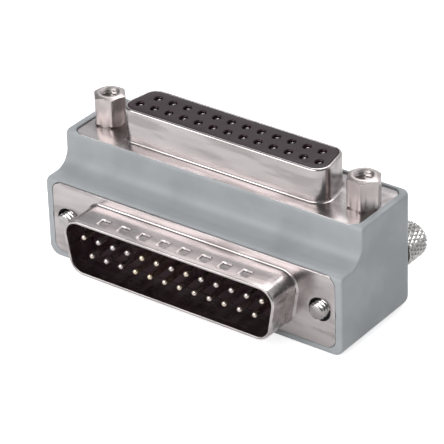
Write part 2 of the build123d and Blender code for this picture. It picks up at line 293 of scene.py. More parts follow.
# %% Grain and brushing
grain, grain_in, grain_out = new_group(
    "surface grain",
    [
        ("Stretch", "NodeSocketVector", (1, 1, 1)),
        ("Coarse", "NodeSocketFloat", 0.5),
        ("Fine", "NodeSocketFloat", 6.0),
        ("Fine share", "NodeSocketFloat", 0.5),
    ],
    ["Mask", "Height"],
)
coarse_noise = noise(grain, grain_in.outputs["Stretch"], grain_in.outputs["Coarse"], 2.0)
fine_noise = noise(grain, grain_in.outputs["Stretch"], grain_in.outputs["Fine"], 3.0)
both = node(grain, "ShaderNodeMix", {0: grain_in.outputs["Fine share"], 2: coarse_noise, 3: fine_noise})
grain.links.new(both.outputs[0], grain_out.inputs["Mask"])
grain.links.new(fine_noise, grain_out.inputs["Height"])
print("group", grain.name, "made with", len(grain.nodes), "nodes")

# %% Handling marks
marks, marks_in, marks_out = new_group(
    "handling marks",
    [
        ("Stretch", "NodeSocketVector", (1, 1, 1)),
        ("Size", "NodeSocketFloat", 0.12),
        ("From", "NodeSocketFloat", 0.45),
        ("To", "NodeSocketFloat", 0.65),
    ],
    ["Mask"],
)
patches = noise(marks, marks_in.outputs["Stretch"], marks_in.outputs["Size"], 4.0)
edge = node(
    marks,
    "ShaderNodeMapRange",
    {"Value": patches, "From Min": marks_in.outputs["From"], "From Max": marks_in.outputs["To"]},
    interpolation_type="SMOOTHSTEP",
)
marks.links.new(edge.outputs[0], marks_out.inputs["Mask"])
print("group", marks.name, "made with", len(marks.nodes), "nodes")

# %% [markdown]
# ## Finishes
# Each finish is one Principled shader. Two colours are mixed by the grain, the roughness follows the grain
# and the marks, and a small bump gives the surface its tooth. A picture could carry such detail, but noise
# needs no file and has the same scale on each piece. Moulded plastic has a fine, even grain. Plated sheet is
# smooth but carries the rolling lines of the sheet, so its grain is stretched along the row of contacts. The
# plug's insulator is a copy of the socket's black with a weaker mirror: painted shade for its place deep
# between bright walls.

# %% A finish maker
GRAIN_USED = {"From Min": 0.3, "From Max": 0.7}


def tint(tree, mask, first, second):
    """A mix of two colours. Sockets 6 and 7 of a Mix node take colours, and its output 2 gives one."""
    made = node(tree, "ShaderNodeMix", {0: mask, 6: first, 7: second}, data_type="RGBA")
    return made.outputs[2]


def finish(name, dark, light, rough, metallic=0.0, stretch=(1, 1, 1), coarse=0.5, fine=6.0, share=0.5,
           mark_size=0.12, mark_rough=0.08, mark_tint=0.06, bump=0.1, bump_depth=0.01, **fixed):
    """A Principled material whose colour, roughness and bump follow the shared groups."""
    made = bpy.data.materials.new(name)
    made.use_nodes = True
    tree = made.node_tree
    shader = tree.nodes["Principled BSDF"]
    shader.inputs["Metallic"].default_value = metallic
    for label, value in fixed.items():
        shader.inputs[label.replace("_", " ")].default_value = value
    sizes = {"Stretch": stretch, "Coarse": coarse, "Fine": fine, "Fine share": share}
    tooth = node(tree, "ShaderNodeGroup", sizes, node_tree=grain)
    touched = node(tree, "ShaderNodeGroup", {"Size": mark_size, "Stretch": stretch}, node_tree=marks)
    spread = node(tree, "ShaderNodeMapRange", {"Value": tooth.outputs["Mask"], **GRAIN_USED})
    colour = tint(tree, spread.outputs[0], (*dark, 1), (*light, 1))
    faded = [c * (1 - mark_tint) for c in dark]
    tinted = tint(tree, touched.outputs["Mask"], colour, (*faded, 1))
    low, high = rough
    dull = node(tree, "ShaderNodeMapRange",
                {"Value": tooth.outputs["Mask"], **GRAIN_USED, "To Min": low, "To Max": high})
    smear = node(tree, "ShaderNodeMath", {0: touched.outputs["Mask"], 1: mark_rough, 2: dull.outputs[0]},
                 operation="MULTIPLY_ADD")
    relief = node(tree, "ShaderNodeBump",
                  {"Height": tooth.outputs["Height"], "Strength": bump, "Distance": bump_depth * MM})
    tree.links.new(tinted, shader.inputs["Base Color"])
    tree.links.new(smear.outputs[0], shader.inputs["Roughness"])
    tree.links.new(relief.outputs[0], shader.inputs["Normal"])
    return made


# %% Plastics
plastic = finish("satin grey moulding", (0.335, 0.352, 0.366), (0.375, 0.392, 0.406), (0.36, 0.46),
                 coarse=0.25, fine=9.0, share=0.35, bump=0.25, bump_depth=0.012)
BLACK_GRAIN = dict(coarse=0.5, fine=10.0, share=0.6, bump=0.3, bump_depth=0.01)
black = finish("black insulator", (0.014, 0.004, 0.007), (0.028, 0.010, 0.016), (0.24, 0.34),
               Specular_IOR_Level=0.33, **BLACK_GRAIN)
# A copy of the black with nearly the same colours and a weaker mirror: painted shade for the plug's
# insulator, which lies deep between bright walls.
black_with_painted_shade = finish("black insulator in the plug with painted shade", (0.015, 0.004, 0.008), (0.028, 0.008, 0.015),
                      (0.24, 0.34), Specular_IOR_Level=0.12, **BLACK_GRAIN)
print("plastics", plastic.name, black.name, black_with_painted_shade.name, sep=", ")

# %% Metals
plating = finish("plated drawn sheet", (0.45, 0.413, 0.410), (0.62, 0.576, 0.574), (0.17, 0.27),
                 metallic=1.0, stretch=(0.2, 1, 1), coarse=0.4, fine=4.0, share=0.12, bump=0.05,
                 bump_depth=0.004, mark_rough=0.06, mark_size=0.5, mark_tint=0.13)
brass = finish("plated turned brass", (0.46, 0.415, 0.405), (0.62, 0.57, 0.56), (0.30, 0.40),
               metallic=1.0, coarse=0.4, fine=4.0, share=0.2, bump=0.06, bump_depth=0.004)
knurled = finish("plated knurled steel", (0.36, 0.34, 0.335), (0.64, 0.62, 0.61), (0.16, 0.28),
                 metallic=1.0, coarse=1.5, fine=8.0, share=0.5, bump=0.15, bump_depth=0.006)
spring = finish("spring steel", (0.22, 0.22, 0.23), (0.36, 0.36, 0.37), (0.3, 0.45), metallic=1.0)
contact_plate = finish("thin gold on nickel", (0.66, 0.60, 0.60), (0.78, 0.66, 0.47), (0.16, 0.26),
                       metallic=1.0, coarse=0.33, fine=3.0, share=0.05, mark_rough=0.05)
sleeve_plate = finish("tin on bronze", (0.42, 0.405, 0.41), (0.56, 0.54, 0.53), (0.20, 0.30),
                      metallic=1.0, coarse=0.6, fine=4.0, share=0.2, mark_rough=0.05)
print("finishes in all", len(bpy.data.materials))

# %% [markdown]
# ## The moulded housing
# The real housing is one plastic moulding. It could be joined from boxes, but its section is a step with a
# cove, so it is drawn once, with its corners rounded, and pulled out along the row of contacts. A bevel then
# rounds the outer edges, a large one where the CAD block is rounded and a small one at each edge that a mould
# always leaves soft. The seats and bores are cut out last. Where one opens on an outer face, its cutter's
# mouth flares, so the rim comes out rounded as well.

# %% Blank of the housing
FRONT, BACK = block_low.y, block_high.y
HALF_LENGTH = block_high.x
TOP = block_high.z
UPPER_SETBACK, UPPER_STEP = 5.4, 5.9
UPPER_EDGE, COVE, FRONT_EDGE = 0.9, 2.8, 1.0
STEP_Y, STEP_Z = FRONT + UPPER_SETBACK, TOP - UPPER_STEP
section = rounded(
    [(FRONT, 0), (BACK, 0), (BACK, TOP), (STEP_Y, TOP), (STEP_Y, STEP_Z), (FRONT, STEP_Z)],
    [0, 0, 0, UPPER_EDGE, COVE, FRONT_EDGE],
    arc_steps=14,
)
blank = Mesher()
blank.solid([blank.ring([(x, p.x, p.y) for p in section[0]]) for x in (-HALF_LENGTH, HALF_LENGTH)])
print("points round the section", len(section[0]))

# %% Rounded edges of the blank
BASE_ROUND, EDGE_SOFTNESS = 1.8, 0.4
SHARP_EDGE = math.radians(40)


def soften(bm, edges, radius, segments):
    """Rounds edges of a mesh."""
    bmesh.ops.bevel(bm, geom=edges, offset=radius * MM, offset_type="OFFSET", segments=segments,
                    profile=0.5, affect="EDGES", clamp_overlap=False)


def lies(vert, axis, value):
    """Whether a corner lies on a plane across an axis."""
    return abs(vert.co[axis] / MM - value) < 1e-3


def wide_round(edge):
    """Whether an edge is one of the back corners or of the base, apart from the base's front edge."""
    a, b = edge.verts
    at_end = any(lies(a, 0, x) and lies(b, 0, x) for x in (-HALF_LENGTH, HALF_LENGTH))
    on_base = lies(a, 2, 0) and lies(b, 2, 0)
    on_back = lies(a, 1, BACK) and lies(b, 1, BACK)
    return (on_base and (at_end or on_back)) or (on_back and at_end)


bm = blank.bm
bmesh.ops.recalc_face_normals(bm, faces=bm.faces)
soften(bm, [e for e in bm.edges if wide_round(e)], BASE_ROUND, segments=9)
sharp = [e for e in bm.edges if e.is_manifold and e.calc_face_angle() > SHARP_EDGE]
soften(bm, sharp, EDGE_SOFTNESS, segments=4)
print("blank of the housing:", len(bm.faces), "faces,", len(sharp), "edges softened")

# %% Cutters
OVERSHOOT = 0.6


def cutter(rings):
    """A closed shape that will be cut out of another."""
    made = Mesher()
    made.solid([made.ring(r) for r in rings])
    return link("cutter", made.mesh("cutter"))


def hole(outline, lay, deep, mouth, flare=0.0):
    """A cutter for a straight hole from deep to its mouth, which flares by a rounded lip."""
    out = 1 if mouth > deep else -1
    lip = round_edge(flare) if flare else [(0, 0)]
    rings = [lay(grown(outline, 0), deep)]
    rings += [lay(grown(outline, -by), mouth + out * drop) for by, drop in lip]
    rings.append(lay(grown(outline, flare), mouth + out * OVERSHOOT))
    return cutter(rings)


def cut_out(shape, tools):
    """The mesh that is left when tools are cut out of a shape. The shape and the tools are removed."""
    for tool in tools:
        cut = shape.modifiers.new("cut", "BOOLEAN")
        cut.operation, cut.solver, cut.object = "DIFFERENCE", "EXACT", tool
    bpy.context.view_layer.update()
    graph = bpy.context.evaluated_depsgraph_get()
    left = bpy.data.meshes.new_from_object(shape.evaluated_get(graph))
    for used in [*tools, shape]:
        bpy.data.objects.remove(used)
    return left


print("a cutter stands", OVERSHOOT, "mm out of its hole")

# %% Seats of the shells and insulators
FLANGE_LENGTH, FLANGE_WIDTH, FLANGE_CORNER = plug_high.x - plug_low.x, plug_high.z - plug_low.z, 1.6
REAR_LENGTH, REAR_WIDTH, REAR_CORNER, REAR_DEPTH = 41.0, 10.6, 2.6, 4.6
REAR_BOTTOM = SOCKET_SEAT - REAR_DEPTH
GAP = 0.05
OVERLAP = 0.1
flange_seat = rounded(slab_corners(FLANGE_LENGTH + 2 * GAP, FLANGE_WIDTH + 2 * GAP), [FLANGE_CORNER] * 4)
insulator_seat = rounded(d_corners(REAR_LENGTH + 2 * GAP, REAR_WIDTH + 2 * GAP), [REAR_CORNER + GAP] * 4)
cutters = [
    hole(flange_seat, on_front, PLUG_BACK, FRONT, flare=0.06),
    hole(flange_seat, on_top, SOCKET_SEAT, TOP, flare=0.18),
    hole(insulator_seat, on_front, PLUG_BACK + REAR_DEPTH, PLUG_BACK - OVERLAP),
    hole(insulator_seat, on_top, REAR_BOTTOM, SOCKET_SEAT + OVERLAP),
]
print("flange", round(FLANGE_LENGTH, 2), "by", round(FLANGE_WIDTH, 2), "mm")

# %% Cavity of the tails, and the bores
CAVITY_LENGTH, CAVITY_WIDTH, PAST_ROW = 35.52, 9.2, 2.62
CAVITY_Y = (PLUG_BACK + REAR_DEPTH + SOCKET_Y + PAST_ROW) / 2
TUNNEL, RING_CHAMBER, KNOB_RECESS, STUD_HOLE = 1.7, 2.9, 3.5, 1.45
BORE_STEPS, RECESS_STEPS = 40, 56
CHAMBER_DEPTH, RECESS_DEPTH, STUD_DEPTH = 4.2, 2.0, 4.2


def across_cavity(points, z):
    """Outline points (u, v) as places on a plane across Z, round the middle of the cavity."""
    return [(u, CAVITY_Y + v, z) for u, v in points]


cavity = rounded(slab_corners(CAVITY_LENGTH, CAVITY_WIDTH), [0] * 4)
cutters.append(hole(cavity, across_cavity, PLUG_Z - PAST_ROW, REAR_BOTTOM + OVERLAP))
for side in (-1, 1):
    axis = (side * SCREW_X, 0)
    tunnel, chamber, stud_hole = (circle(r, axis, BORE_STEPS) for r in (TUNNEL, RING_CHAMBER, STUD_HOLE))
    recess = circle(KNOB_RECESS, axis, RECESS_STEPS)
    cutters += [
        hole(tunnel, on_front, BACK - RECESS_DEPTH / 2, PLUG_BACK - OVERLAP),
        hole(chamber, on_front, PLUG_BACK + CHAMBER_DEPTH, PLUG_BACK - OVERLAP),
        hole(recess, on_front, BACK - RECESS_DEPTH, BACK, flare=0.15),
        hole(stud_hole, on_top, SOCKET_SEAT - STUD_DEPTH, SOCKET_SEAT + OVERLAP),
    ]
print("cutters", len(cutters))

# %% Cut the housing
housing_mesh = cut_out(link("blank", blank.mesh("blank")), cutters)
housing = dress(housing_mesh, "housing_moulding", "adapter", plastic, ["housing"], 30)
level = housing.modifiers.new("flat faces stay flat", "WEIGHTED_NORMAL")
level.keep_sharp = True

# %% [markdown]
# ## Drawn shells
# A D shell is pressed and drawn out of one sheet, so its wall leaves the flange in a soft radius and its rim
# is rounded over. A thickened surface could give the wall, but not these two rounds. Here the shell is one
# skin: rings follow the section of the sheet from the flange up the wall, over the rim and down the inside.
# Each long wall of the plug carries a row of small pressed pockets that touch the mating shell. They are made
# by adding points at each pocket's edges and pushing them in. Extra points just outside keep the wall flat.

# %% Pressed pockets of the plug shell
POCKET_PITCH, POCKET_COUNT = 3.75, 8
POCKETS = [POCKET_PITCH * (i - (POCKET_COUNT - 1) / 2) for i in range(POCKET_COUNT)]
POCKET_DEPTH, LOWER_SHARE = 0.24, 0.4
# Half widths of a pocket's steps along the wall, from just outside its mouth to its core
POCKET_EDGE, POCKET_MOUTH, POCKET_LIP, POCKET_FLOOR, POCKET_CORE = 1.04, 0.98, 0.80, 0.71, 0.35
# Shares of the depth at the lip and at the shallow end, and how the floor goes down from there
LIP_SHARE, START_SHARE, RAMP = 0.32, 0.3, 1.3
# Distances from the shell's rim: the two ends of a pocket, and the wall's rings round and in it
POCKET_NEAR, POCKET_FAR = 1.1, 2.9
POCKET_LEVELS = (3.05, 2.99, 2.87, 2.6, 2.2, 1.8, 1.4, 1.13, 1.05, 0.99)
HAIR = 0.01
half_steps = [POCKET_EDGE, POCKET_MOUTH, POCKET_LIP, POCKET_FLOOR, POCKET_CORE]
pocket_steps = [-s for s in half_steps] + [0.0] + half_steps[::-1]


def pressed(point, out, from_rim):
    """How far a point of the wall is pushed in (below zero) where a pocket is pressed."""
    from_middle = min(abs(point.x - c) for c in POCKETS)
    inside = from_middle < POCKET_MOUTH - HAIR and abs(out.x) < HAIR
    if not inside or not POCKET_NEAR < from_rim < POCKET_FAR:
        return 0.0
    depth = POCKET_DEPTH if out.y > 0 else LOWER_SHARE * POCKET_DEPTH
    if from_middle > POCKET_FLOOR + HAIR:
        depth *= LIP_SHARE
    along = (from_rim - POCKET_NEAR) / (POCKET_FAR - POCKET_NEAR)
    return -depth * (START_SHARE + (1 - START_SHARE) * along ** RAMP)


print("pockets", POCKETS, "mm from the middle")

# %% Shell maker
FLANGE_EDGE = 0.1
ROOT_STEPS = 8
INNER_ROUND, RIM_FLAT = 0.12, 0.02


def shell(lay, base, face_at, outwards, height, root, rim, screw_hole, pressed_at=None):
    """One drawn shell: the flange with its two screw holes, and the D wall with a rounded root and rim."""
    made = Mesher()

    def ring(outline, by, up, from_rim=None):
        points = grown(outline, by)
        if from_rim is not None and pressed_at:
            points = [(q[0], q[1] + math.copysign(1, out.y) * pressed_at(p, out, from_rim))
                      for q, p, out in zip(points, *outline)]
        return made.ring(lay(points, face_at + outwards * up))

    def sheet_edge(outline, side):
        """The soft edge of the sheet along an outline. Gives its rings on the upper and the lower face."""
        soft = [ring(outline, side * by, drop) for by, drop in round_edge(FLANGE_EDGE)]
        foot = ring(outline, 0, -SHEET)
        made.skin([foot] + soft)
        return soft[-1], foot

    flange = rounded(slab_corners(FLANGE_LENGTH, FLANGE_WIDTH), [FLANGE_CORNER] * 4)
    bores = [circle(screw_hole / 2, (side * SCREW_X, 0), BORE_STEPS) for side in (-1, 1)]
    edges = [sheet_edge(flange, 1)] + [sheet_edge(bore, -1) for bore in bores]
    outer = [(-drop, -by) for by, drop in round_edge(root, ROOT_STEPS)]
    levels = [height - s for s in POCKET_LEVELS] if pressed_at else []
    outer += [(0.0, up) for up in levels]
    outer += [(by, height + drop) for by, drop in round_edge(rim)]
    inner_rim = min(INNER_ROUND, WALL - rim - RIM_FLAT)
    inner = [(-WALL - by, height + drop) for by, drop in reversed(round_edge(inner_rim))]
    inner += [(-WALL, up) for up in reversed(levels)] + [(-WALL, -SHEET)]
    wall = [ring(base, by, up, height - up) for by, up in outer + inner]
    made.skin(wall)
    for wall_ring, (outside, *inside) in zip((wall[0], wall[-1]), zip(*edges)):
        made.cap(outside, wall_ring, *inside)
    return made


# %% Plug shell
PLUG_LENGTH, PLUG_WIDTH, PLUG_CORNER = 38.96, 8.36, 2.2
half_corner = math.radians((90 - SLOPE) / 2)
plug_corners = d_corners(PLUG_LENGTH + 2 * WALL / math.tan(half_corner), PLUG_WIDTH + 2 * WALL)
WALL_V = PLUG_WIDTH / 2 + WALL
wide_cuts = [(c + s, WALL_V) for c in reversed(POCKETS) for s in reversed(pocket_steps)]
narrow_cuts = [(c + s, -WALL_V) for c in POCKETS for s in pocket_steps]
plug_outline = rounded(plug_corners, [PLUG_CORNER + WALL] * 4, arc_steps=12,
                       cuts={0: narrow_cuts, 2: wide_cuts})
plug_made = shell(on_front, plug_outline, PLUG_FACE, -1, height=PLUG_FACE - PLUG_RIM, root=0.45, rim=0.2,
                  screw_hole=3.8, pressed_at=pressed)
plug_made.finish("plug_shell_drawn", "adapter", "shells", plating, ["plug_shell"])

# %% Socket shell
SOCKET_LENGTH, SOCKET_WIDTH, SOCKET_CORNER = 38.38, 7.9, 2.4
socket_corners = d_corners(SOCKET_LENGTH, SOCKET_WIDTH)
socket_outline = rounded(socket_corners, [SOCKET_CORNER] * 4, arc_steps=12)
socket_made = shell(on_top, socket_outline, SOCKET_FACE, 1, height=SOCKET_RIM - SOCKET_FACE, root=0.42,
                    rim=0.36, screw_hole=3.1)
socket_made.finish("socket_shell_drawn", "adapter", "shells", plating, ["socket_shell"])

# %% [markdown]
# ## The socket's insulator
# The face of the socket is a black moulding with 25 round entries. Each entry has a small countersink that
# guides the pin in, and opens below into a square chamber for the contact. The holes could be cut out one by
# one, but a flat face that is filled round them needs fewer faces. A round and a square ring with the same
# number of points are joined to make the step to the chamber.

# %% Places of the contacts
PITCH, ROW_SPACING = 2.76, 2.84
grid = [((i - 6) * PITCH, 1) for i in range(13)] + [((i - 5.5) * PITCH, -1) for i in range(12)]
ENTRY_RADIUS, ENTRY_DEPTH, CONTACT_LENGTH = 0.625, 0.8, 7.4
CONTACT_TOP = SOCKET_RIM - ENTRY_DEPTH
CONTACT_BOTTOM = CONTACT_TOP - CONTACT_LENGTH
print("contacts", len(grid))

# %% Sides of the socket insulator
BOSS_INSET, BOSS_EDGE = WALL + GAP, 0.12
block = Mesher()
rear = rounded(d_corners(REAR_LENGTH, REAR_WIDTH), [REAR_CORNER] * 4)
boss = rounded(socket_corners, [SOCKET_CORNER] * 4)
sides = [block.ring(on_top(grown(rear, 0), z)) for z in (REAR_BOTTOM, SOCKET_SEAT)]
sides.append(block.ring(on_top(grown(boss, -BOSS_INSET), SOCKET_SEAT)))
for by, drop in round_edge(BOSS_EDGE, steps=3):
    sides.append(block.ring(on_top(grown(boss, by - BOSS_INSET), SOCKET_RIM + drop)))
block.skin(sides)
print("rings of the insulator's sides", len(sides))

# %% Entries of the socket insulator
CHAMBER_HALF = 0.79
COUNTERSINK = [(0.16, 0.0), (0.1, 0.04), (0.0, 0.16)]
entry = [(circle, ENTRY_RADIUS + wider, depth) for wider, depth in COUNTERSINK]
entry += [(circle, ENTRY_RADIUS, ENTRY_DEPTH), (square, CHAMBER_HALF, ENTRY_DEPTH)]
entry.append((square, CHAMBER_HALF, SOCKET_RIM - REAR_BOTTOM))
mouths, feet = [], []
for x, side in grid:
    centre = (x, side * ROW_SPACING / 2)
    rings = []
    for form, size, depth in entry:
        rings.append(block.ring(on_top(grown(form(size, centre), 0), SOCKET_RIM - depth)))
    block.skin(rings)
    mouths.append(rings[0])
    feet.append(rings[-1])
block.cap(sides[-1], *mouths)
block.cap(sides[0], *feet)
block.finish("socket_insulator_block", "adapter", "insulators", black, ["socket_insulator"])

# %% [markdown]
# ## Pins and sockets
# Each pin is turned, with a domed tip, and its square tail bends up into the contact of the socket above. The
# contact is a rolled sleeve with two beams that grip the mating pin. Copies of one mesh would do for the eye,
# but each contact stands for its own CAD node, so one function is called once for each place.

# %% One pin
TIP_INSET, FLOOR_DEPTH = 0.8, 5.5
PIN_TIP, PIN_FLOOR = PLUG_RIM + TIP_INSET, PLUG_RIM + FLOOR_DEPTH
PIN_RADIUS, PIN_STEPS = 0.51, 16
PIN_DOME = [(0.06, 0.03), (0.2, 0.08), (0.32, 0.15), (0.41, 0.24), (0.47, 0.36), (PIN_RADIUS, 0.52)]
TAIL_HALF, TAIL_BEND, BEND_STEPS = 0.315, 0.55, 6
TAIL_TOP = CONTACT_BOTTOM + 0.98


def pin_piece(number, x, side):
    """A turned pin along Y with a square tail that bends up."""
    made = Mesher()
    z = PLUG_Z + side * ROW_SPACING / 2
    tail_y = SOCKET_Y - side * ROW_SPACING / 2
    turned_part = [(radius, PIN_TIP + behind) for radius, behind in PIN_DOME] + [(PIN_RADIUS, PIN_FLOOR)]
    rings = []
    for radius, y in turned_part:
        rings.append([(p.x, y, p.y) for p in circle(radius, (x, z), PIN_STEPS)[0]])
    path = [(PIN_FLOOR, z, 0), (tail_y - TAIL_BEND, z, 0)]
    for k in range(1, BEND_STEPS + 1):
        turn = math.pi / 2 * k / BEND_STEPS
        bend_y = tail_y - TAIL_BEND + TAIL_BEND * math.sin(turn)
        path.append((bend_y, z + TAIL_BEND * (1 - math.cos(turn)), turn))
    path.append((tail_y, TAIL_TOP, math.pi / 2))
    section = square(TAIL_HALF, (0, 0), PIN_STEPS)[0]
    for y, up, turn in path:
        rings.append([(x + p.x, y - p.y * math.sin(turn), up + p.y * math.cos(turn)) for p in section])
    made.solid([made.ring(r) for r in rings])
    made.finish(f"contact_pin_{number:02d}", "adapter", "pins", contact_plate, [f"pin_{number:02d}"])


# %% One sleeve
SLEEVE_RADIUS, CUP_HALF, CUP_DEPTH = 0.74, 0.36, 1.0
COLLAR_TOP = CONTACT_BOTTOM + 1.6
BEAM_SWEEP, BEAM_STEP = 64, 16
# Height, inner radius and outer radius of a beam, from its foot in the collar to its lip in the entry
BEAM = [
    (COLLAR_TOP - 0.1, 0.47, SLEEVE_RADIUS),
    (CONTACT_TOP - 0.12, 0.47, SLEEVE_RADIUS),
    (CONTACT_TOP, 0.50, 0.60),
    (CONTACT_TOP + 0.24, 0.52, 0.60),
    (CONTACT_TOP + 0.34, 0.58, 0.60),
]


def sleeve_piece(number, x, side):
    """A rolled contact sleeve: a collar round the pin's tail, and two curved beams."""
    made = Mesher()
    v = side * ROW_SPACING / 2
    cup, collar = square(CUP_HALF, (x, v)), circle(SLEEVE_RADIUS, (x, v))
    section = [(cup, CONTACT_BOTTOM + CUP_DEPTH), (cup, CONTACT_BOTTOM), (collar, CONTACT_BOTTOM),
               (collar, COLLAR_TOP)]
    made.solid([made.ring(on_top(grown(outline, 0), z)) for outline, z in section])
    for facing in (1, -1):
        arc = [math.radians(90 * facing + a) for a in range(-BEAM_SWEEP, BEAM_SWEEP + 1, BEAM_STEP)]
        rings = []
        for z, inner, outer in BEAM:
            points = [(x + outer * math.cos(a), v + outer * math.sin(a)) for a in arc]
            points += [(x + inner * math.cos(a), v + inner * math.sin(a)) for a in reversed(arc)]
            rings.append(made.ring(on_top(points, z)))
        made.solid(rings)
    made.finish(f"contact_sleeve_{number:02d}", "adapter", "sockets", sleeve_plate, [f"socket_{number:02d}"])


# %% All contacts
for number, (x, side) in enumerate(grid, start=1):
    pin_piece(number, x, side)
    sleeve_piece(number, x, side)

# %% [markdown]
# ## Hex standoffs
# A standoff is turned from hexagonal bar. The lathe cuts a cone across its corners, which leaves a curved
# edge on each flat. A cutter could do the same, but a ring whose radius is the smaller of the hexagon and the
# cone gives exactly that edge. The bore carries a thread, so its rings follow a helix: the radius depends on
# the height and on the angle together. Each post ends its turning where it was tightened, so the two differ.

# %% Turned rings and threads
THREAD_PITCH = 0.635
FLANK, CREST_FLAT = 1.5, 0.25


def turned(radius, steps, centre):
    """Points round a centre. The radius is a number, or a function of the angle."""
    points = []
    for k in range(steps):
        a = 2 * math.pi * k / steps
        r = radius(a) if callable(radius) else radius
        points.append((centre[0] + r * math.cos(a), centre[1] + r * math.sin(a)))
    return points


def thread(angle, along, crest, root):
    """Radius of a thread with slightly flat crests."""
    phase = (along / THREAD_PITCH - angle / (2 * math.pi)) % 1
    slope = min(max(1 + CREST_FLAT - abs(2 * phase - 1) * FLANK, 0), 1)
    return root + (crest - root) * slope


print("thread pitch", THREAD_PITCH, "mm")

# %% One standoff
STANDOFF_TOP = span("standoffs")[1].z
HEX_HALF, HEX_CORNER = 4.76 / 2, 2.71
STUD_RADIUS, STUD_LENGTH, STUD_POINT = 1.4, 4.4, 0.2
SEAT_RADIUS, SEAT_HEIGHT = 2.35, 0.28
CONE_RADIUS, CONE_FLARE = 1.95, 2
CONE_DEPTHS = (0.45, 0.4, 0.36, 0.32, 0.28, 0.24, 0.2, 0.15, 0.1, 0.05, 0.02)
BORE_MOUTH = [(0.0, 1.9), (0.0, 1.58), (0.03, 1.53), (0.36, 1.22)]
BORE_START, BORE_CREST, BORE_ROOT = 0.4, 1.16, 1.4
POST_STEPS, BORE_RINGS, BORE_RINGS_A_TURN = 96, 46, 8


def standoff(made, side, corner):
    """Adds one standoff: the stud in the moulding, the hexagon with its cone, and the threaded bore."""
    centre = (side * SCREW_X, SOCKET_Y)

    def ring(z, radius):
        return made.ring([(x, y, z) for x, y in turned(radius, POST_STEPS, centre)])

    def hexagon(angle, most=HEX_CORNER):
        """Radius of the bar at an angle, with its corners broken or turned down."""
        within = (math.degrees(angle) - corner) % 60 - 30
        return min(HEX_HALF / math.cos(math.radians(within)), most)

    rings = [ring(SOCKET_FACE - STUD_LENGTH, STUD_RADIUS - STUD_POINT)]
    rings.append(ring(SOCKET_FACE - STUD_LENGTH + STUD_POINT, STUD_RADIUS))
    rings.append(ring(SOCKET_FACE, STUD_RADIUS))
    rings.append(ring(SOCKET_FACE, lambda a: hexagon(a, SEAT_RADIUS)))
    rings.append(ring(SOCKET_FACE + SEAT_HEIGHT, hexagon))
    for down in CONE_DEPTHS:
        cone = min(CONE_RADIUS + down * CONE_FLARE, HEX_CORNER)
        rings.append(ring(STANDOFF_TOP - down, lambda a: hexagon(a, cone)))
    rings += [ring(STANDOFF_TOP - down, radius) for down, radius in BORE_MOUTH]
    for k in range(BORE_RINGS):
        z = STANDOFF_TOP - BORE_START - k * THREAD_PITCH / BORE_RINGS_A_TURN
        rings.append(ring(z, lambda a: thread(a, z, BORE_CREST, BORE_ROOT)))
    made.solid(rings)


# %% Both standoffs
LEFT_TURN, RIGHT_TURN = 12, 53.7
posts = Mesher()
standoff(posts, -1, LEFT_TURN)
standoff(posts, 1, RIGHT_TURN)
posts.finish("standoff_pair", "adapter", "standoffs", brass, ["standoffs"], 28)

# %% [markdown]
# ## Thumbscrews
# The head is knurled: two sets of helical grooves cross and leave rows of small diamonds. A bump in the
# material could draw them, but the knob's outline would stay smooth, so they are real here: each point of the
# head's side is lowered by the nearer of the two grooves. The grooves fade out at both rounded ends. The
# screwdriver slot is cut last, and the shank has a neck for its ring and a rolled thread.

# %% Knurl
DIAMONDS = 26
KNURL_DEPTH, KNURL_LEAD, GROOVE_SLOPE = 0.22, 0.62, 2.4


def knurl(angle, along):
    """How deep the knurl is at a place of the head's side."""
    across = angle * DIAMONDS / (2 * math.pi)
    up_slope = abs((across + along * KNURL_LEAD) % 1 - 0.5)
    down_slope = abs((across - along * KNURL_LEAD) % 1 - 0.5)
    return KNURL_DEPTH * max(0, 1 - GROOVE_SLOPE * min(up_slope, down_slope))


print("diamonds round a knob", DIAMONDS)

# %% Knob
screw_low, screw_high = span("thumbscrew_right")
TIP, HEAD_END = screw_low.y, screw_high.y
HEAD_LENGTH, HEAD_RADIUS = 5.1, 3.0
HEAD_FACE = HEAD_END - HEAD_LENGTH
FACE_ROUND, END_ROUND, FADE = 0.3, 0.9, 0.35
FACE_INSET, END_INSET, SIDE_GAP = 0.45, 0.2, 0.02
HEAD_ROWS, HEAD_STEPS = 64, DIAMONDS * 8
SLOT_LENGTH, SLOT_WIDTH, SLOT_DEPTH = 8, 0.8, 1.0
print("screw from", round(TIP, 2), "to", round(HEAD_END, 2))


def knob(axis_x):
    """The mesh of a knurled head, with its slot cut."""
    made = Mesher()

    def ring(y, radius):
        return made.ring(on_front(turned(radius, HEAD_STEPS, (axis_x, 0)), y))

    rings = [ring(HEAD_FACE, HEAD_RADIUS - FACE_INSET)]
    for k in range(HEAD_ROWS + 1):
        y = HEAD_FACE + SIDE_GAP + (HEAD_LENGTH - 2 * SIDE_GAP) * k / HEAD_ROWS
        from_face, from_end = y - HEAD_FACE, HEAD_END - y
        front = FACE_ROUND - min(from_face, FACE_ROUND)
        back = max(0, END_ROUND - from_end)
        shrink = front + END_ROUND - math.sqrt(END_ROUND ** 2 - back ** 2)
        fade = min(1, from_face / FADE, from_end / FADE)
        rings.append(ring(y, lambda a: HEAD_RADIUS - shrink - fade * knurl(a, y)))
    rings.append(ring(HEAD_END, HEAD_RADIUS - END_ROUND - END_INSET))
    made.solid(rings)
    # The knurl's faces aren't flat, and the slot cuts clean only through flat ones, so they become triangles
    bmesh.ops.triangulate(made.bm, faces=made.bm.faces)

    def on_axis(points, y):
        return on_front([(axis_x + u, v) for u, v in points], y)

    slot_outline = rounded(slab_corners(SLOT_LENGTH, SLOT_WIDTH), [0] * 4)
    slot = hole(slot_outline, on_axis, HEAD_END - SLOT_DEPTH, HEAD_END, flare=0.08)
    return cut_out(link("head", made.mesh("head")), [slot])


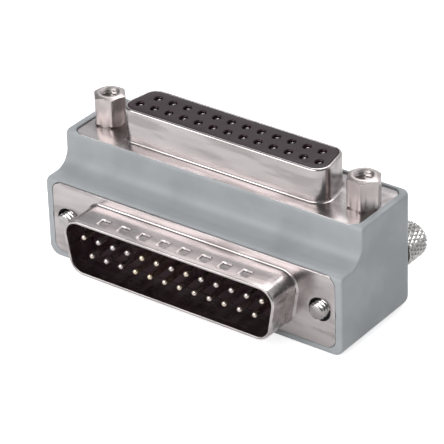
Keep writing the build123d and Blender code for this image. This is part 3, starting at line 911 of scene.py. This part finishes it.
# %% Thumbscrew
ring_low, ring_high = span("retaining_ring_right")
NECK_FRONT, NECK_BACK = ring_low.y - GAP, ring_high.y + GAP
SHANK_RADIUS, SHANK_EDGE, SHANK_INTO_HEAD = 1.37, 1.33, 0.3
NECK_RADIUS, NECK_BEVEL = 1.1, 0.06
SCREW_ROOT, RUN_OUT, THREAD_GAP = 1.06, 0.2, 0.15
CONE_START, CONE_RISE, TIP_RADIUS, TIP_GAP = 1.08, 1.1, 1.03, 0.02
SHANK_STEPS, SHANK_RINGS_A_TURN = 48, 10
NECK = [
    (HEAD_FACE + SHANK_INTO_HEAD, SHANK_RADIUS),
    (NECK_BACK + NECK_BEVEL, SHANK_RADIUS),
    (NECK_BACK, SHANK_EDGE),
    (NECK_BACK, NECK_RADIUS),
    (NECK_FRONT, NECK_RADIUS),
    (NECK_FRONT, SHANK_EDGE),
    (NECK_FRONT - NECK_BEVEL, SHANK_RADIUS),
]


def thumbscrew(side, name, body):
    """One captive screw: the knob, the neck that its ring sits in, and the thread up to the tip."""
    axis_x = side * SCREW_X
    shank = Mesher()
    shank.bm.from_mesh(knob(axis_x))

    def ring(y, radius):
        return shank.ring(on_front(turned(radius, SHANK_STEPS, (axis_x, 0)), y))

    rings = [ring(y, radius) for y, radius in NECK]
    start = NECK_FRONT - THREAD_GAP
    length = start - TIP - TIP_GAP
    count = int(length / (THREAD_PITCH / SHANK_RINGS_A_TURN))
    for k in range(count + 1):
        y = start - length * k / count
        cone = CONE_START + (y - TIP) * CONE_RISE
        fade = min(1, (start - y) / RUN_OUT)

        def threaded(angle):
            groove = SHANK_RADIUS - thread(angle, y, SHANK_RADIUS, SCREW_ROOT)
            return min(cone, SHANK_RADIUS - fade * groove)

        rings.append(ring(y, threaded))
    rings.append(ring(TIP, TIP_RADIUS))
    shank.solid(rings)
    shank.finish(f"{name}_knurled", body, "thumbscrews", knurled, [name], 35)


thumbscrew(-1, "thumbscrew_left", "screw_left")
thumbscrew(1, "thumbscrew_right", "screw_right")

# %% [markdown]
# ## CAD pieces that stay
# The plug's insulator and the two split rings already have their real shape, so new meshes would only repeat
# them. They get a finish in their material slots.

# %% Finishes for the CAD pieces
kept = {"plug_insulator": black_with_painted_shade, "retaining_ring_left": spring, "retaining_ring_right": spring}
for name, material in kept.items():
    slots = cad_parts[name].data.materials
    if not slots:
        slots.append(material)
    for i in range(len(slots)):
        slots[i] = material
    print(name, "gets", material.name)

# %% [markdown]
# ## The camera
# The camera was found from the 25 pins and 25 holes, whose spacing is standard. It looks from the front right
# and from above, and leans a little. A long lens from far away keeps the edges of the block nearly parallel.

# %% Camera
AZIMUTH, ELEVATION, ROLL = (math.radians(a) for a in (37.134, 30.3722, -1.9357))
OFF_RIGHT, OFF_UP, DISTANCE = 8.2118, 8.6998, 446.0377
level_share = math.cos(ELEVATION)
backwards = Vector((math.sin(AZIMUTH) * level_share, -math.cos(AZIMUTH) * level_share, math.sin(ELEVATION)))
level_right = Vector((0, 0, 1)).cross(backwards).normalized()
level_up = backwards.cross(level_right)
right = level_right * math.cos(ROLL) + level_up * math.sin(ROLL)
up = level_up * math.cos(ROLL) - level_right * math.sin(ROLL)
middle = Vector((0, PLUG_RIM, PLUG_Z))
eye = middle + right * OFF_RIGHT + up * OFF_UP + backwards * DISTANCE
lens = bpy.data.cameras.new("camera")
lens.lens, lens.sensor_width = 243.243, 36
lens.clip_start, lens.clip_end = 0.05, 5.0
camera = link("camera", lens)
camera.matrix_world = Matrix.Translation(eye * MM) @ Matrix((right, up, backwards)).transposed().to_4x4()
bpy.context.scene.camera = camera
print("camera at", [round(v, 1) for v in eye], "mm")

# %% [markdown]
# ## Floor and light
# A pale floor and a bright, even surrounding give the clean white ground. The floor glows more for the camera
# than for the object, so it looks white but lights the block little from below. Large soft lights stand in
# front at the upper left, and above and behind, so the front face is lighter than the right end, and the
# plated parts have something to reflect.

# %% Floor
FLOOR_HALF, FLOOR_DROP = 1.5, 0.0002
SEEN_GLOW, FLOOR_GLOW = 0.55, 0.15
corners = [(x * FLOOR_HALF, y * FLOOR_HALF, -FLOOR_DROP) for x, y in ((-1, -1), (1, -1), (1, 1), (-1, 1))]
floor_mesh = bpy.data.meshes.new("floor")
floor_mesh.from_pydata(corners, [], [(0, 1, 2, 3)])
floor = link("floor", floor_mesh)
paper = bpy.data.materials.new("white paper")
paper.use_nodes = True
sheet = paper.node_tree
lit_paper = sheet.nodes["Principled BSDF"]
lit_paper.inputs["Base Color"].default_value = (0.82, 0.82, 0.82, 1)
lit_paper.inputs["Roughness"].default_value = 0.9
lit_paper.inputs["Emission Color"].default_value = (1, 1, 1, 1)
seen = node(sheet, "ShaderNodeLightPath").outputs["Is Camera Ray"]
glow = node(sheet, "ShaderNodeMath", {0: seen, 1: SEEN_GLOW, 2: FLOOR_GLOW}, operation="MULTIPLY_ADD")
sheet.links.new(glow.outputs[0], lit_paper.inputs["Emission Strength"])
floor_mesh.materials.append(paper)
print("floor", 2 * FLOOR_HALF, "m wide")

# %% Surroundings
ROOM_IN_FRONT, ROOM_BEHIND = 0.2, 0.74
world = bpy.data.worlds.new("studio")
world.use_nodes = True
sky = world.node_tree
sky.nodes.clear()
direction = node(sky, "ShaderNodeTexCoord").outputs["Generated"]
behind = node(sky, "ShaderNodeSeparateXYZ", {0: direction}).outputs["Y"]
ramp = node(
    sky,
    "ShaderNodeMapRange",
    {"Value": behind, "From Min": 0.1, "From Max": 0.7, "To Min": ROOM_IN_FRONT, "To Max": ROOM_BEHIND},
    interpolation_type="SMOOTHSTEP",
)
room = node(sky, "ShaderNodeBackground", {"Color": (0.97, 0.98, 1.0, 1), "Strength": ramp.outputs[0]})
white = node(sky, "ShaderNodeBackground", {"Color": (1, 1, 1, 1), "Strength": 1.0})
seen = node(sky, "ShaderNodeLightPath").outputs["Is Camera Ray"]
shown = node(sky, "ShaderNodeMixShader", {0: seen, 1: room.outputs[0], 2: white.outputs[0]})
node(sky, "ShaderNodeOutputWorld", {"Surface": shown.outputs[0]})
bpy.context.scene.world = world
print("world nodes", len(sky.nodes))


# %% Lamps
def lamp(name, place, size, power):
    """A soft rectangular light that looks at the object."""
    light = bpy.data.lights.new(name, "AREA")
    light.shape, light.size, light.size_y, light.energy = "RECTANGLE", size[0], size[1], power
    made = link(name, light)
    made.location = place
    aim = Vector((0, 0, 0.01)) - made.location
    made.rotation_euler = aim.to_track_quat("-Z", "Y").to_euler()


lamp("front", place=(-0.14, -0.5, 0.38), size=(0.75, 0.45), power=3.75)
lamp("above and behind", place=(-0.05, 0.3, 0.55), size=(0.5, 0.4), power=1.9)
bpy.context.scene.view_settings.view_transform = "Standard"
